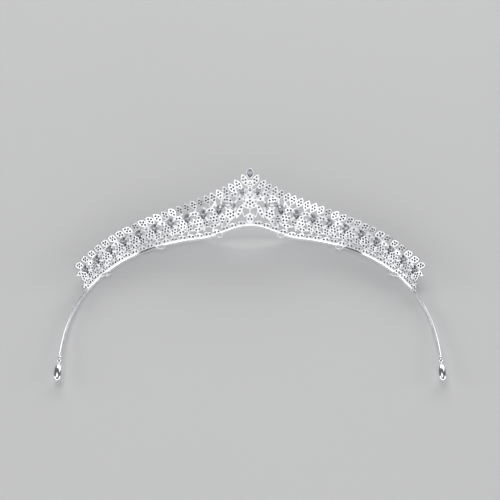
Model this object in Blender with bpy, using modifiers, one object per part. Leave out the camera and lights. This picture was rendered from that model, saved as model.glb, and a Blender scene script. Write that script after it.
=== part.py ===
"""Bridal tiara: an openwork crown of set leaf plates on a polished head band.

The crown is a leaning sheet that follows the band.  Its plates are drawn flat, as
on a strip of sheet metal, in millimetres: s runs along the band from the centre,
h runs up the slanted sheet and out is the depth towards the stones' side.  wrap()
bends the flat plates round the head and turns them into metres.  The object rests
on z = 0 and its plan is centred on the origin, with the wearer facing +Y.
"""
import math

import bmesh
import bpy
import numpy as np
from mathutils import Vector

MM = 0.001

# Head band plan and stance (metres, radians)
HALF_WIDTH = 0.0722
DEPTH = 0.0840
SQUARENESS = 2.62
PLAN_STEPS = 20001
LEAN_CENTRE = math.radians(16.2)
LEAN_SIDE = math.radians(33.0)
LEAN_SPAN = 0.085
LEAN_LIMIT = 1.3
REST_DEPTH = 0.0125
TIP_LIFT = 0.0040
BASE_LIFT = 0.000309
CENTRE_SHIFT = 0.0384205

# Head band strip (mm)
BAND_HEIGHT = 1.9
END_HEIGHT = 1.2
TAPER_START = 82.0
BAND_THICK = 0.8
BAND_SEGMENTS = 76
ARCH_RISE = 5.0
ARCH_HALF = 20.5
END_MARGIN = 10.3

# Ends and pin loops (mm)
# DROP_PROFILE is the turned drop: radius and distance from the band's end, through a link with a bead
DROP_PROFILE = ((0.0, 0.0), (0.55, 0.0), (0.5, 1.3), (0.9, 1.9), (0.9, 2.5), (0.5, 3.1), (0.5, 4.3),
                (1.15, 5.1), (1.6, 6.3), (1.75, 8.0), (1.7, 10.2), (1.35, 11.9), (0.8, 12.8), (0.0, 13.2))
DROP_SIDES = 16
LOOP_PLACES = (12.75, 37.2, 64.9)
LOOP_LIFT = 0.75
LOOP_HALF = 1.15
LOOP_REACH = 2.1
LOOP_CORNER = 0.4
LOOP_FLAT = 0.805
WIRE_RADIUS = 0.35

# Crown sheet (mm)
GAP = 0.3
PLATE_DEPTH = 1.1
CUTTER_DEPTH = 4.0
DECAY = 19.8
CREST_LOW = 12.4
CREST_RISE = 19.6
ANCHOR_LOW = 7.6
ANCHOR_RISE = 8.2
CROWN_END = 78.6
MODULES = 10
FIRST_ANCHOR = 14.1
MODULE_STEP = 6.45
MODULE_GROWTH = 0.035
MODULE_HEIGHT = 7.8
MODULE_SINK = 0.8
SEAM_BACK = 1.45
SEAM_TOP_BACK = 2.0
SEAM_DROP = 3.4
SEAM_OVERSHOOT = 0.8
CENTRE_TIPS = (3.4, 6.4, 8.7, 10.8, 13.1, 15.5)
FIRST_TIP = 17.83
TIP_STEP = 2.64
TIP_GROWTH = 0.0332
LEAF_WIDTH = 2.35
LEAF_FULLNESS = 0.85
STEM = 0.9
THIN_STEM = 0.8
THICK_STEM = 1.0
OUTLINE_STEPS = 4
FOLD_STEP = 4.5
FLAT_ANGLE = math.radians(4)
MERGE = 0.002
WELD = 0.0001
ON_PLANE = 0.00001

# Base row (mm)
RAIL_HEIGHT = 0.6
RAIL_STATIONS = 30
LOW_LEAF_STEP = 3.55
LOW_LEAF_START = 1.2
LOW_LEAVES = 21
LOW_LEAF = ((0.0, 0.0), (1.1, 0.42), (2.5, 0.5), (2.9, 0.0))
BASE_TOP = 3.3
END_CUT = (BASE_TOP + GAP, 6.0, 9.0, 12.0, 16.0)

# Stones (mm)
PEAR_LENGTH = 3.5
PEAR_WIDTH = 2.7
PEAR_POINTS = 12
PEAR_TAPER = 0.32
PEAR_TILT = -8
CENTRE_PEAR_TILT = 14
RIM = 0.55
STONE_DEPTH = 1.5
CULET_DEPTH = 0.1
PEAR_OFFSET = 4.5
SHOULDER_PEAR = (12.4, 13.4)
CENTRE_PEAR = (3.2, 21.4)
MARQUISE_CENTRE = 29.4
MARQUISE_LENGTH = 5.0
MARQUISE_WIDTH = 2.7
MARQUISE_SEAT = (MARQUISE_LENGTH + 1, MARQUISE_WIDTH + 2 * GAP)

# Finishes
RHODIUM = (0.86, 0.87, 0.89, 1.0)
ZIRCONIA = (0.93, 0.95, 0.98, 1.0)
METAL_ROUGHNESS = 0.12
STONE_ROUGHNESS = 0.02


def plan_curve():
    """Arc length, position and direction along one half of the band's plan."""
    t = np.linspace(0.0, math.pi / 2, PLAN_STEPS)
    x = HALF_WIDTH * np.sin(t) ** (2 / SQUARENESS)
    y = -DEPTH * (1 - np.cos(t) ** (2 / SQUARENESS))
    s = np.concatenate([[0.0], np.cumsum(np.hypot(np.diff(x), np.diff(y)))])
    return s, x, y, np.gradient(x, s), np.gradient(y, s)


PLAN = plan_curve()
HALF_LENGTH = PLAN[0][-1] / MM


def on_sheet(s, h, out):
    """World place of a point of the flat sheet, all three given in millimetres."""
    arc = abs(s) * MM
    x, y, dx, dy = (np.interp(arc, PLAN[0], column) for column in PLAN[1:])
    share = min(arc / LEAN_SPAN, LEAN_LIMIT)
    lean = LEAN_CENTRE + (LEAN_SIDE - LEAN_CENTRE) * share ** 2
    floor = BASE_LIFT + TIP_LIFT * ((-y - REST_DEPTH) / (DEPTH - REST_DEPTH)) ** 2
    reach = (h * math.sin(lean) + out * math.cos(lean)) * MM
    rise = (h * math.cos(lean) - out * math.sin(lean)) * MM
    side = -1.0 if s < 0 else 1.0
    return Vector((side * (x - dy * reach), y + dx * reach + CENTRE_SHIFT, floor + rise))


def arch(s):
    """Height of the band's lower edge over its normal level."""
    return ARCH_RISE * math.cos(math.pi * min(abs(s) / ARCH_HALF, 1.0) / 2) ** 2


def band_height(s):
    """Height of the band's strip, which narrows towards its ends."""
    share = (abs(s) - TAPER_START) / (HALF_LENGTH - END_MARGIN - TAPER_START)
    return BAND_HEIGHT - (BAND_HEIGHT - END_HEIGHT) * min(max(share, 0.0), 1.0)


def level(s, low, rise):
    """Height that falls off exponentially from the centre towards the ends."""
    return low + rise * math.exp(-abs(s) / DECAY)


def anchor(m):
    """Top of module m's fan of leaves."""
    s = FIRST_ANCHOR + MODULE_STEP * m + MODULE_GROWTH * m * m
    return s, level(s, ANCHOR_LOW, ANCHOR_RISE)


def module_scale(m):
    """How tall module m's fan is beside the standard one."""
    s, h = anchor(m)
    return (h - arch(s) - BASE_TOP + MODULE_SINK) / MODULE_HEIGHT


def top_leaf(n):
    """Tip and foot of leaf n of the crest; the leaves before 0 belong to the centre."""
    if n < 0:
        s = CENTRE_TIPS[n + len(CENTRE_TIPS)]
    else:
        s = FIRST_TIP + TIP_STEP * n + TIP_GROWTH * n * n
    tilt = math.radians(min(max(12 + 1.09 * (s - 15), 20), 50))
    if n in (-5, -4):
        tilt = math.radians(35)
    length = level(s, 4.2, 1.6)
    h = level(s, CREST_LOW, CREST_RISE)
    return (s, h), (s - length * math.sin(tilt), h - length * math.cos(tilt))


# Flat outlines

def leaf_outline(tip, foot, width, steps=OUTLINE_STEPS):
    """Pointed oval between two points."""
    axis = Vector(tip) - Vector(foot)
    across = Vector((axis.y, -axis.x)).normalized() * width / 2
    points = []
    for side in (1, -1):
        for k in range(steps):
            share = k / steps if side > 0 else 1 - k / steps
            bulge = math.sin(math.pi * share) ** LEAF_FULLNESS
            points.append(Vector(foot) + axis * share + across * side * bulge)
    return points


def oval(centre, length, width, tilt):
    """Pointed oval about a centre, leaning to +s by tilt degrees."""
    half = Vector((math.sin(math.radians(tilt)), math.cos(math.radians(tilt)))) * length / 2
    return leaf_outline(Vector(centre) + half, Vector(centre) - half, width)


def bar(start, end, width):
    """Straight stem with square ends half its width beyond the two points."""
    axis = (Vector(end) - Vector(start)).normalized()
    across = Vector((axis.y, -axis.x)) * width / 2
    a = Vector(start) - axis * width / 2
    b = Vector(end) + axis * width / 2
    return [a - across, b - across, b + across, a + across]


def pear(centre, grow=0.0, tilt=PEAR_TILT):
    """Pear-cut stone, round end up, point down; grow moves the outline outwards."""
    turn = math.radians(tilt)
    points = []
    for k in range(PEAR_POINTS):
        a = 2 * math.pi * k / PEAR_POINTS
        taper = 1 - PEAR_TAPER * (1 - math.cos(a)) / 2
        across = (PEAR_WIDTH / 2 + grow) * math.sin(a) * taper
        along = (PEAR_LENGTH / 2 + grow) * math.cos(a)
        points.append(Vector(centre) + Vector((across * math.cos(turn) + along * math.sin(turn),
                                               along * math.cos(turn) - across * math.sin(turn))))
    return points


# Building tools

def clear_scene():
    for item in list(bpy.data.objects):
        bpy.data.objects.remove(item, do_unlink=True)


def new_collection(name):
    collection = bpy.data.collections.new(name)
    bpy.context.scene.collection.children.link(collection)
    return collection


def finish(obj, colour, roughness, metallic):
    """Give a part its own Principled material."""
    material = bpy.data.materials.new(obj.name + "_finish")
    material.use_nodes = True
    shader = material.node_tree.nodes["Principled BSDF"]
    shader.inputs["Base Color"].default_value = colour
    shader.inputs["Roughness"].default_value = roughness
    shader.inputs["Metallic"].default_value = metallic
    obj.data.materials.append(material)
    return obj


def metal(obj):
    """Rhodium-plated metal."""
    return finish(obj, RHODIUM, METAL_ROUGHNESS, 1.0)


def stone(obj):
    """Cut zirconia."""
    return finish(obj, ZIRCONIA, STONE_ROUGHNESS, 0.0)


def baked(obj):
    """Replace an object by the mesh that its curve and modifiers make."""
    bpy.context.view_layer.update()
    graph = bpy.context.evaluated_depsgraph_get()
    mesh = bpy.data.meshes.new_from_object(obj.evaluated_get(graph))
    result = bpy.data.objects.new(obj.name, mesh)
    result.matrix_world = obj.matrix_world.copy()
    collection = obj.users_collection[0]
    bpy.data.objects.remove(obj, do_unlink=True)
    collection.objects.link(result)
    result.name = result.name.split(".")[0]
    return result


def flat_plate(name, outline, near, far, collection):
    """A closed flat plate from near to far in depth."""
    curve = bpy.data.curves.new(name, "CURVE")
    curve.dimensions = "2D"
    curve.fill_mode = "BOTH"
    curve.extrude = (far - near) / 2
    spline = curve.splines.new("POLY")
    spline.points.add(len(outline) - 1)
    for point, place in zip(spline.points, outline):
        point.co = (place[0], place[1], 0.0, 1.0)
    spline.use_cyclic_u = True
    obj = bpy.data.objects.new(name, curve)
    obj.location.z = (near + far) / 2
    collection.objects.link(obj)
    plate = baked(obj)
    bm = bmesh.new()
    bm.from_mesh(plate.data)
    bmesh.ops.remove_doubles(bm, verts=bm.verts, dist=WELD)
    bmesh.ops.recalc_face_normals(bm, faces=bm.faces)
    bm.to_mesh(plate.data)
    bm.free()
    return plate


def combine(target, operation, tools):
    """Join, trim or cut an object with every plate of a collection."""
    modifier = target.modifiers.new(operation.lower(), "BOOLEAN")
    modifier.operation = operation
    modifier.solver = "EXACT"
    modifier.operand_type = "COLLECTION"
    modifier.collection = tools


def keep_largest(bm):
    """Keep the tallest body, so that a cut leaves no chips."""
    left = set(bm.verts)
    bodies = []
    while left:
        stack = [left.pop()]
        body = set(stack)
        while stack:
            for edge in stack.pop().link_edges:
                for vert in edge.verts:
                    if vert in left:
                        left.discard(vert)
                        body.add(vert)
                        stack.append(vert)
        bodies.append(body)
    largest = max(bodies, key=lambda body: max(v.co.y for v in body) - min(v.co.y for v in body))
    chips = [vert for vert in bm.verts if vert not in largest]
    bmesh.ops.delete(bm, geom=chips, context="VERTS")


def wrap(obj, side):
    """Fold a flat plate round the head, on the right (+1) or the left (-1)."""
    bm = bmesh.new()
    bm.from_mesh(obj.data)
    bm.transform(obj.matrix_world)
    keep_largest(bm)
    bmesh.ops.remove_doubles(bm, verts=bm.verts, dist=MERGE)
    bmesh.ops.dissolve_limit(bm, angle_limit=FLAT_ANGLE, verts=bm.verts, edges=bm.edges)
    low = min(v.co.x for v in bm.verts)
    high = max(v.co.x for v in bm.verts)
    folds = max(int((high - low) / FOLD_STEP), 1)
    for k in range(1, folds):
        place = low + (high - low) * k / folds
        everything = list(bm.verts) + list(bm.edges) + list(bm.faces)
        bmesh.ops.bisect_plane(bm, geom=everything, plane_co=(place, 0, 0), plane_no=(1, 0, 0),
                               dist=ON_PLANE)
    bmesh.ops.triangulate(bm, faces=bm.faces)
    for vert in bm.verts:
        vert.co = on_sheet(side * vert.co.x, vert.co.y, vert.co.z)
    bmesh.ops.recalc_face_normals(bm, faces=bm.faces)
    if bm.calc_volume(signed=True) < 0:
        bmesh.ops.reverse_faces(bm, faces=bm.faces)
    obj.matrix_world.identity()
    bm.to_mesh(obj.data)
    bm.free()
    return obj


def sheet_part(name, side, outlines, parts, cell=None, seats=()):
    """Join flat outlines, trim them to a cell, cut the seats and fold the result."""
    work = new_collection("work_" + name)
    joined = new_collection("joined_" + name)
    body = None
    for k, outline in enumerate(outlines):
        plate = flat_plate(f"{name}_{k}", outline, 0.0, PLATE_DEPTH, joined if k else work)
        body = body or plate
    combine(body, "UNION", joined)
    tools = []
    for operation, shapes in (("INTERSECT", [cell] if cell else []), ("DIFFERENCE", seats)):
        for k, outline in enumerate(shapes):
            cutters = new_collection(f"{operation.lower()}_{name}_{k}")
            tools.append(cutters)
            flat_plate(f"{name}_cut", outline, -CUTTER_DEPTH, CUTTER_DEPTH, cutters)
            combine(body, operation, cutters)
    body.name = name + "_sheet"
    body = baked(body)
    for collection in [work, joined] + tools:
        for obj in list(collection.objects):
            if obj is not body:
                bpy.data.objects.remove(obj, do_unlink=True)
        if collection is not work:
            bpy.data.collections.remove(collection)
    work.objects.unlink(body)
    bpy.data.collections.remove(work)
    parts.objects.link(body)
    body.name = name
    return metal(wrap(body, side))


# Sub-parts

def head_band(parts):
    """Polished strip, raised in an arch over the forehead."""
    length = HALF_LENGTH - END_MARGIN
    bm = bmesh.new()
    rows = []
    for k in range(BAND_SEGMENTS + 1):
        s = length * (2 * k / BAND_SEGMENTS - 1)
        rows.append([bm.verts.new(on_sheet(s, arch(s) + lift, BAND_THICK / 2))
                     for lift in (0.0, band_height(s))])
    for a, b in zip(rows, rows[1:]):
        bm.faces.new((a[0], b[0], b[1], a[1]))
    mesh = bpy.data.meshes.new("head_band")
    bm.to_mesh(mesh)
    bm.free()
    obj = bpy.data.objects.new("head_band", mesh)
    parts.objects.link(obj)
    shell = obj.modifiers.new("thickness", "SOLIDIFY")
    shell.thickness = BAND_THICK * MM
    shell.offset = 0.0
    shell.use_even_offset = True
    return metal(obj)


def end_drop(name, side, parts):
    """Turned drop on the end of the band, pointing back past the wearer's ear."""
    mesh = bpy.data.meshes.new(name)
    points = [Vector((radius * MM, 0, -along * MM)) for radius, along in DROP_PROFILE]
    mesh.from_pydata(points, [(k, k + 1) for k in range(len(points) - 1)], [])
    obj = bpy.data.objects.new(name, mesh)
    turn = obj.modifiers.new("turn", "SCREW")
    turn.steps = DROP_SIDES
    turn.render_steps = DROP_SIDES
    turn.use_merge_vertices = True
    turn.merge_threshold = WELD * MM
    end = on_sheet(side * (HALF_LENGTH - END_MARGIN), END_HEIGHT / 2, BAND_THICK / 2)
    obj.location = end - Vector((0, GAP * MM, 0))
    obj.rotation_euler = (-math.pi / 2, 0, 0)
    parts.objects.link(obj)
    return metal(obj)


def pin_loop(name, side, place, parts):
    """Staple of round wire on the inner face of the band, for a hair pin."""
    h = arch(place) + LOOP_LIFT
    half = [(LOOP_HALF, -GAP), (LOOP_HALF, LOOP_CORNER - LOOP_REACH), (LOOP_FLAT, -LOOP_REACH)]
    route = [(-along, out) for along, out in half] + half[::-1]
    curve = bpy.data.curves.new(name, "CURVE")
    curve.dimensions = "3D"
    curve.bevel_depth = WIRE_RADIUS * MM
    curve.bevel_resolution = 2
    curve.use_fill_caps = True
    spline = curve.splines.new("POLY")
    spline.points.add(len(route) - 1)
    for point, (along, out) in zip(spline.points, route):
        point.co = (*on_sheet(side * (place + along), h, out), 1.0)
    obj = bpy.data.objects.new(name, curve)
    parts.objects.link(obj)
    return metal(obj)


def base_row(name, side, parts):
    """Rail of low leaves that carries the crown on the band's upper edge."""
    floor = BAND_HEIGHT + GAP
    outline = [Vector((s, arch(s) + floor)) for s in np.linspace(CROWN_END, GAP / 2, RAIL_STATIONS)]
    outline.append(Vector((GAP / 2, arch(0) + floor + RAIL_HEIGHT)))
    for k in range(LOW_LEAVES):
        start = LOW_LEAF_START + LOW_LEAF_STEP * k
        for along, up in LOW_LEAF:
            s = start + along
            outline.append(Vector((s, arch(s) + floor + RAIL_HEIGHT + up)))
    outline.append(Vector((CROWN_END, floor + RAIL_HEIGHT)))
    plate = flat_plate(name, outline, 0.0, PLATE_DEPTH, parts)
    return metal(wrap(plate, side))


def module_seam(m):
    """Line between module m and the one before it, from the base row to the crest."""
    s, h = anchor(m)
    k = module_scale(m)
    tip_a, foot_a = top_leaf(2 * m - 1)
    tip_b, foot_b = top_leaf(2 * m)
    foot = (Vector(foot_a) + Vector(foot_b)) / 2
    tip = (Vector(tip_a) + Vector(tip_b)) / 2
    edge = s - SEAM_BACK
    return [Vector((edge, arch(s) + BASE_TOP + GAP)), Vector((edge, h - SEAM_DROP * k)),
            Vector((s - SEAM_TOP_BACK, h)), foot, tip + (tip - foot) * SEAM_OVERSHOOT]


def between(left, right):
    """Cell between two seams, half a gap inside each."""
    inset = Vector((GAP / 2, 0))
    return [p + inset for p in left] + [p - inset for p in reversed(right)]


def crown_module(name, side, m, parts):
    """Two crest leaves, a trefoil and the fan of leaves under it, with half of each collet."""
    s, h = anchor(m)
    k = module_scale(m)

    def at(along, up):
        return Vector((s + along, h + up * k))

    tip_a, foot_a = top_leaf(2 * m)
    outlines = [
        oval(at(0.0, -1.5), 5.2 * k, 2.9, 5),
        oval(at(1.35, -2.2), 3.2, 1.7, 35),
        oval(at(1.6, 1.8), 3.4, 2.0, 80),
        bar(at(0.4, 0.3), at(1.4, 1.6), STEM),
        oval(at(0.5, -4.95), 3.4, 1.6, 78),
        bar(at(0.2, -3.2), at(0.5, -5.0), STEM),
        leaf_outline(tip_a, foot_a, LEAF_WIDTH),
        bar(foot_a, at(1.6, 1.8), STEM),
    ]
    if m < MODULES - 1:
        tip_b, foot_b = top_leaf(2 * m + 1)
        outlines += [
            leaf_outline(tip_b, foot_b, LEAF_WIDTH),
            bar(foot_b, at(2.6, 1.9), STEM),
            bar(at(1.8, -2.0), at(3.5, -2.9), THIN_STEM),
            oval(at(3.75, -4.1), 4.2 * k, 2.5, -15),
            bar(at(1.5, -5.1), at(3.4, -5.1), THIN_STEM),
        ]
        right = module_seam(m + 1)
        stones = (pear_place(m - 1), pear_place(m))
    else:
        right = [Vector((CROWN_END, up)) for up in END_CUT]
        stones = (pear_place(m - 1),)
    outlines += [pear(centre, GAP + RIM) for centre in stones]
    seats = [pear(centre, GAP) for centre in stones]
    return sheet_part(name, side, outlines, parts, between(module_seam(m), right), seats)


def pear_place(m):
    """Centre of the pear stone after module m; -1 is the shoulder's."""
    if m < 0:
        return SHOULDER_PEAR
    s, h = anchor(m)
    return s + PEAR_OFFSET, h


# Line between the centre motif and the right shoulder
SHOULDER_SEAM = [Vector((4.9, arch(4.9) + BASE_TOP + GAP)), Vector((6.1, 9.6)), Vector((4.6, 14.0)),
                 Vector((6.2, 17.6)), Vector((4.6, 21.6)), Vector((9.4, 29.0))]


def shoulder(name, side, parts):
    """Module beside the centre motif, with four crest leaves."""
    outlines = [
        oval((7.8, 11.6), 4.6, 3.2, 0),
        oval((9.2, 10.9), 3.4, 1.7, 35),
        oval((11.3, 8.9), 4.8, 2.4, 0),
        bar((9.6, 11.4), (11.3, 10.0), THIN_STEM),
        bar((7.6, 9.8), (7.0, 7.6), STEM),
        bar((7.0, 7.9), (11.3, 6.6), STEM),
        oval((7.4, 15.6), 3.6, 2.4, -20),
        bar((7.7, 13.2), (7.5, 14.8), STEM),
        oval((9.9, 16.2), 4.6, 2.2, -25),
        bar((7.4, 15.6), (10.2, 16.0), STEM),
        oval((7.0, 19.4), 3.2, 1.9, 75),
        bar((7.4, 15.8), (7.2, 19.0), STEM),
        bar((9.6, 17.0), (10.6, 20.0), STEM),
        pear(SHOULDER_PEAR, GAP + RIM),
    ]
    for n in (-4, -3, -2, -1):
        tip, foot = top_leaf(n)
        outlines.append(leaf_outline(tip, foot, LEAF_WIDTH))
    outlines.append(bar(top_leaf(-4)[1], (6.8, 19.6), STEM))
    outlines.append(bar(top_leaf(-3)[1], (10.4, 17.4), STEM))
    outlines.append(bar(top_leaf(-2)[1], (11.2, 17.6), STEM))
    outlines.append(bar(top_leaf(-1)[1], (13.0, 15.4), STEM))
    outlines.append(bar((10.4, 17.0), (12.2, 18.6), STEM))
    seats = [pear(SHOULDER_PEAR, GAP)]
    return sheet_part(name, side, outlines, parts, between(SHOULDER_SEAM, module_seam(0)), seats)


def mirrored(outline):
    """The same outline on the other side of the centre line."""
    return [Vector((-p[0], p[1])) for p in reversed(outline)]


def centre_motif(parts):
    """Rosette, centre leaf and the crest leaves beside the marquise."""
    half = [
        leaf_outline(*top_leaf(-6), LEAF_WIDTH),
        leaf_outline(*top_leaf(-5), LEAF_WIDTH),
        bar(top_leaf(-6)[1], (0.0, 22.6), STEM),
        bar(top_leaf(-5)[1], (3.2, 23.4), THICK_STEM),
        oval((3.9, 17.6), 3.6, 2.2, 20),
        bar((0.4, 15.2), (3.6, 17.4), THIN_STEM),
        oval((4.2, 12.2), 6.0, 1.7, -22),
        bar((0.4, 14.4), (3.4, 14.6), THIN_STEM),
        pear(CENTRE_PEAR, GAP + RIM, CENTRE_PEAR_TILT),
    ]
    outlines = [
        bar((0.0, 8.6), (0.0, 26.4), THIN_STEM),
        oval((0.0, 10.9), 4.6, 2.8, 0),
        oval((0.0, 16.7), 5.4, 3.2, 0),
        oval((0.0, 20.2), 2.6, 3.4, 0),
        oval((0.0, 25.0), 3.0, 2.4, 0),
    ]
    outlines += half + [mirrored(outline) for outline in half]
    seam = [p - Vector((GAP / 2, 0)) for p in SHOULDER_SEAM]
    cell = [Vector((-p.x, p.y)) for p in seam] + list(reversed(seam))
    cell.append(Vector((0.0, arch(0) + BASE_TOP + GAP)))
    seats = [pear(CENTRE_PEAR, GAP, CENTRE_PEAR_TILT)]
    seats += [mirrored(seats[0]), oval((0, MARQUISE_CENTRE), *MARQUISE_SEAT, 0)]
    return sheet_part("centre_motif", 1, outlines, parts, cell, seats)


def set_stone(name, side, outline, parts):
    """A cut stone in its open-backed collet."""
    plate = flat_plate(name, outline, -CULET_DEPTH, STONE_DEPTH, parts)
    return stone(wrap(plate, side))


def build():
    clear_scene()
    parts = new_collection("bridal_tiara")
    head_band(parts)
    centre_motif(parts)
    marquise = oval((0, MARQUISE_CENTRE), MARQUISE_LENGTH, MARQUISE_WIDTH, 0)
    set_stone("centre_marquise", 1, marquise, parts)
    for side, word in ((1, "right"), (-1, "left")):
        end_drop("end_drop_" + word, side, parts)
        for k, place in enumerate(LOOP_PLACES):
            pin_loop(f"pin_loop_{word}_{k + 1}", side, place, parts)
        base_row("base_row_" + word, side, parts)
        shoulder("shoulder_" + word, side, parts)
        set_stone("centre_pear_" + word, side, pear(CENTRE_PEAR, tilt=CENTRE_PEAR_TILT), parts)
        for m in range(MODULES):
            crown_module(f"crown_{word}_{m + 1:02d}", side, m, parts)
            set_stone(f"pear_stone_{word}_{m + 1:02d}", side, pear(pear_place(m - 1)), parts)


build()
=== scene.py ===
"""Looks of the bridal tiara: fine plates, stones, settings, wire and polished metal.

The crown is drawn flat in millimetres, as part of one leaning sheet that follows the
head band: s runs along the band from the centre, h runs up the sheet and out is the
depth towards the stones' side.  on_sheet() bends it round the head, in metres.
"""
import math
import random

import bpy
import bmesh
import numpy as np
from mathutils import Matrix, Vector


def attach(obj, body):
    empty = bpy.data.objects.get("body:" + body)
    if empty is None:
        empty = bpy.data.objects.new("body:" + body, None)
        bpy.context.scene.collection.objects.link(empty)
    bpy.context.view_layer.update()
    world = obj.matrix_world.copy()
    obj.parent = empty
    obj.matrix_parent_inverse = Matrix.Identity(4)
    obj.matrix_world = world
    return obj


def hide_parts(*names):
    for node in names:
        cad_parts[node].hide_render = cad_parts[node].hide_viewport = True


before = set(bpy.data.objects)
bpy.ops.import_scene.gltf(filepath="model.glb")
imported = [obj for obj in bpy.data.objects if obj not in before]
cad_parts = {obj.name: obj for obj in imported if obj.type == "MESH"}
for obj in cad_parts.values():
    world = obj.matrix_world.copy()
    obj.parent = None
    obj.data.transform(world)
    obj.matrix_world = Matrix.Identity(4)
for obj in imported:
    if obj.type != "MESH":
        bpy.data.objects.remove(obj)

MM = 0.001

# Head band plan and stance, as in the CAD (metres, radians)
HALF_WIDTH = 0.0722
DEPTH = 0.0840
SQUARENESS = 2.62
PLAN_STEPS = 20001
LEAN_CENTRE = math.radians(16.2)
LEAN_SIDE = math.radians(33.0)
LEAN_SPAN = 0.085
LEAN_LIMIT = 1.3
REST_DEPTH = 0.0125
TIP_LIFT = 0.0040
BASE_LIFT = 0.000309
CENTRE_SHIFT = 0.0384205

# Band, ends and pin loops (mm)
BAND_HEIGHT = 1.9
END_HEIGHT = 1.2
TAPER_START = 82.0
BAND_THICK = 0.8
BAND_ROUND = 0.22
BAND_STATIONS = 420
CORNER_STEPS = 4
ARCH_RISE = 5.0
ARCH_HALF = 20.5
END_MARGIN = 10.3
# Turned drop: radius and distance from the band's end, through a link with a bead
DROP_PROFILE = ((0.5, 0.0), (0.52, 0.8), (0.48, 1.4), (0.68, 1.65), (0.9, 2.0), (0.9, 2.4), (0.68, 2.75),
                (0.46, 3.1), (0.45, 3.9), (0.62, 4.35), (1.1, 5.0), (1.48, 5.9), (1.68, 7.0), (1.75, 8.3),
                (1.72, 9.6), (1.6, 10.8), (1.36, 11.8), (1.0, 12.6), (0.5, 13.1), (0.0, 13.2))
DROP_FINE = 5
DROP_SIDES = 40
LOOP_PLACES = (12.75, 37.2, 64.9)
LOOP_LIFT = 0.75
LOOP_HALF = 1.15
LOOP_REACH = 2.1
WIRE_RADIUS = 0.35
WIRE_SIDES = 14

# Crown sheet (mm)
DECAY = 19.8
CREST_LOW = 12.4
CREST_RISE = 19.6
ANCHOR_LOW = 7.6
ANCHOR_RISE = 8.2
CROWN_END = 78.6
MODULES = 10
BOW_MODULES = 3
LOW_LEAVES = 22
LOW_LEAF_START = 2.4
LOW_LEAF_STEP = 3.5
FIRST_ANCHOR = 14.1
MODULE_STEP = 6.45
MODULE_GROWTH = 0.035
MODULE_HEIGHT = 7.8
CENTRE_TIPS = (3.2, 6.3, 8.6, 10.6, 13.0, 15.5)
FIRST_TIP = 17.83
TIP_STEP = 2.64
TIP_GROWTH = 0.0332
LEAF_WIDTH = 2.8
BASE_TOP = 3.3
PEAR_LENGTH = 4.1
PEAR_WIDTH = 3.1
PEAR_TAPER = 0.42
PEAR_TILT = -8
CENTRE_PEAR_TILT = 14
PEAR_OFFSET = 4.5
SHOULDER_PEAR = (12.4, 13.4)
CENTRE_PEAR = (3.2, 21.4)
MARQUISE_CENTRE = 29.4
MARQUISE_LENGTH = 5.0
MARQUISE_WIDTH = 3.0
MARQUISE_BLUNT = 0.72
COLLET_ROUND = 0.07

# Plates, holes and small stones (mm)
PLATE_DEPTH = 0.55
PLATE_ROUND = 0.13
WALL_SLOPE = 0.3
HOLE_RADIUS = 0.36
HOLE_SIDES = 12
STEM_WIDTH = 0.85
CREST_STEM_WIDTH = 0.6
STEM_STEP = 0.1
STEM_LIFT = 0.06
STEM_DEPTH = 0.42
STEM_ROUND = 0.12
STONE_RADIUS = 0.56
STONE_SEAT = 0.72
PAVILION = 0.72
CROWN_RISE = 0.3
TABLE = 0.58
BEAD_RADIUS = 0.15
BEAD_SIDES = 6
BEAD_SPACING = 2.2
BEAD_OFFSET = 0.06
WELD = 1e-4
TILT_SPREAD = 0.05
CREST_TILT_SPREAD = 0.13
SEED = 7

# Camera and light (metres, radians)
CAMERA_REACH = 0.8
CAMERA_RISE = math.radians(40)
CAMERA_TARGET = (0.0, 0.0323205, 0.0)
LENS = 140.47
SENSOR = 36.0
FLOOR_SIZE = 3.0
WORLD_STRENGTH = 0.15
SOFTBOXES = (
    ("front_panel", (0.0, -2.0, 0.62), (3.6, 1.15), 2.3),
    ("left_panel", (-2.0, -0.3, 0.6), (2.0, 1.05), 2.0),
    ("right_panel", (2.0, -0.3, 0.6), (2.0, 1.05), 2.0),
    ("back_panel", (0.3, 1.8, 0.9), (2.2, 1.0), 2.4),
    ("top_panel", (-0.3, 0.2, 1.6), (1.2, 1.2), 1.5),
)


def plan_curve():
    """Arc length, position and direction along one half of the band's plan."""
    t = np.linspace(0.0, math.pi / 2, PLAN_STEPS)
    x = HALF_WIDTH * np.sin(t) ** (2 / SQUARENESS)
    y = -DEPTH * (1 - np.cos(t) ** (2 / SQUARENESS))
    s = np.concatenate([[0.0], np.cumsum(np.hypot(np.diff(x), np.diff(y)))])
    return s, x, y, np.gradient(x, s), np.gradient(y, s)


PLAN = plan_curve()
HALF_LENGTH = PLAN[0][-1] / MM


def on_sheet(points):
    """World places of flat sheet points, rows of (s, h, out) in millimetres."""
    points = np.asarray(points, float).reshape(-1, 3)
    s, h, out = points[:, 0] * MM, points[:, 1] * MM, points[:, 2] * MM
    arc = np.abs(s)
    x, y, dx, dy = (np.interp(arc, PLAN[0], column) for column in PLAN[1:])
    share = np.minimum(arc / LEAN_SPAN, LEAN_LIMIT)
    lean = LEAN_CENTRE + (LEAN_SIDE - LEAN_CENTRE) * share ** 2
    floor = BASE_LIFT + TIP_LIFT * ((-y - REST_DEPTH) / (DEPTH - REST_DEPTH)) ** 2
    reach = h * np.sin(lean) + out * np.cos(lean)
    side = np.where(s < 0, -1.0, 1.0)
    return np.stack([side * (x - dy * reach), y + dx * reach + CENTRE_SHIFT,
                     floor + h * np.cos(lean) - out * np.sin(lean)], axis=1)


def arch(s):
    """Height of the band's lower edge over its normal level."""
    return ARCH_RISE * np.cos(math.pi * np.minimum(np.abs(s) / ARCH_HALF, 1.0) / 2) ** 2


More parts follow.
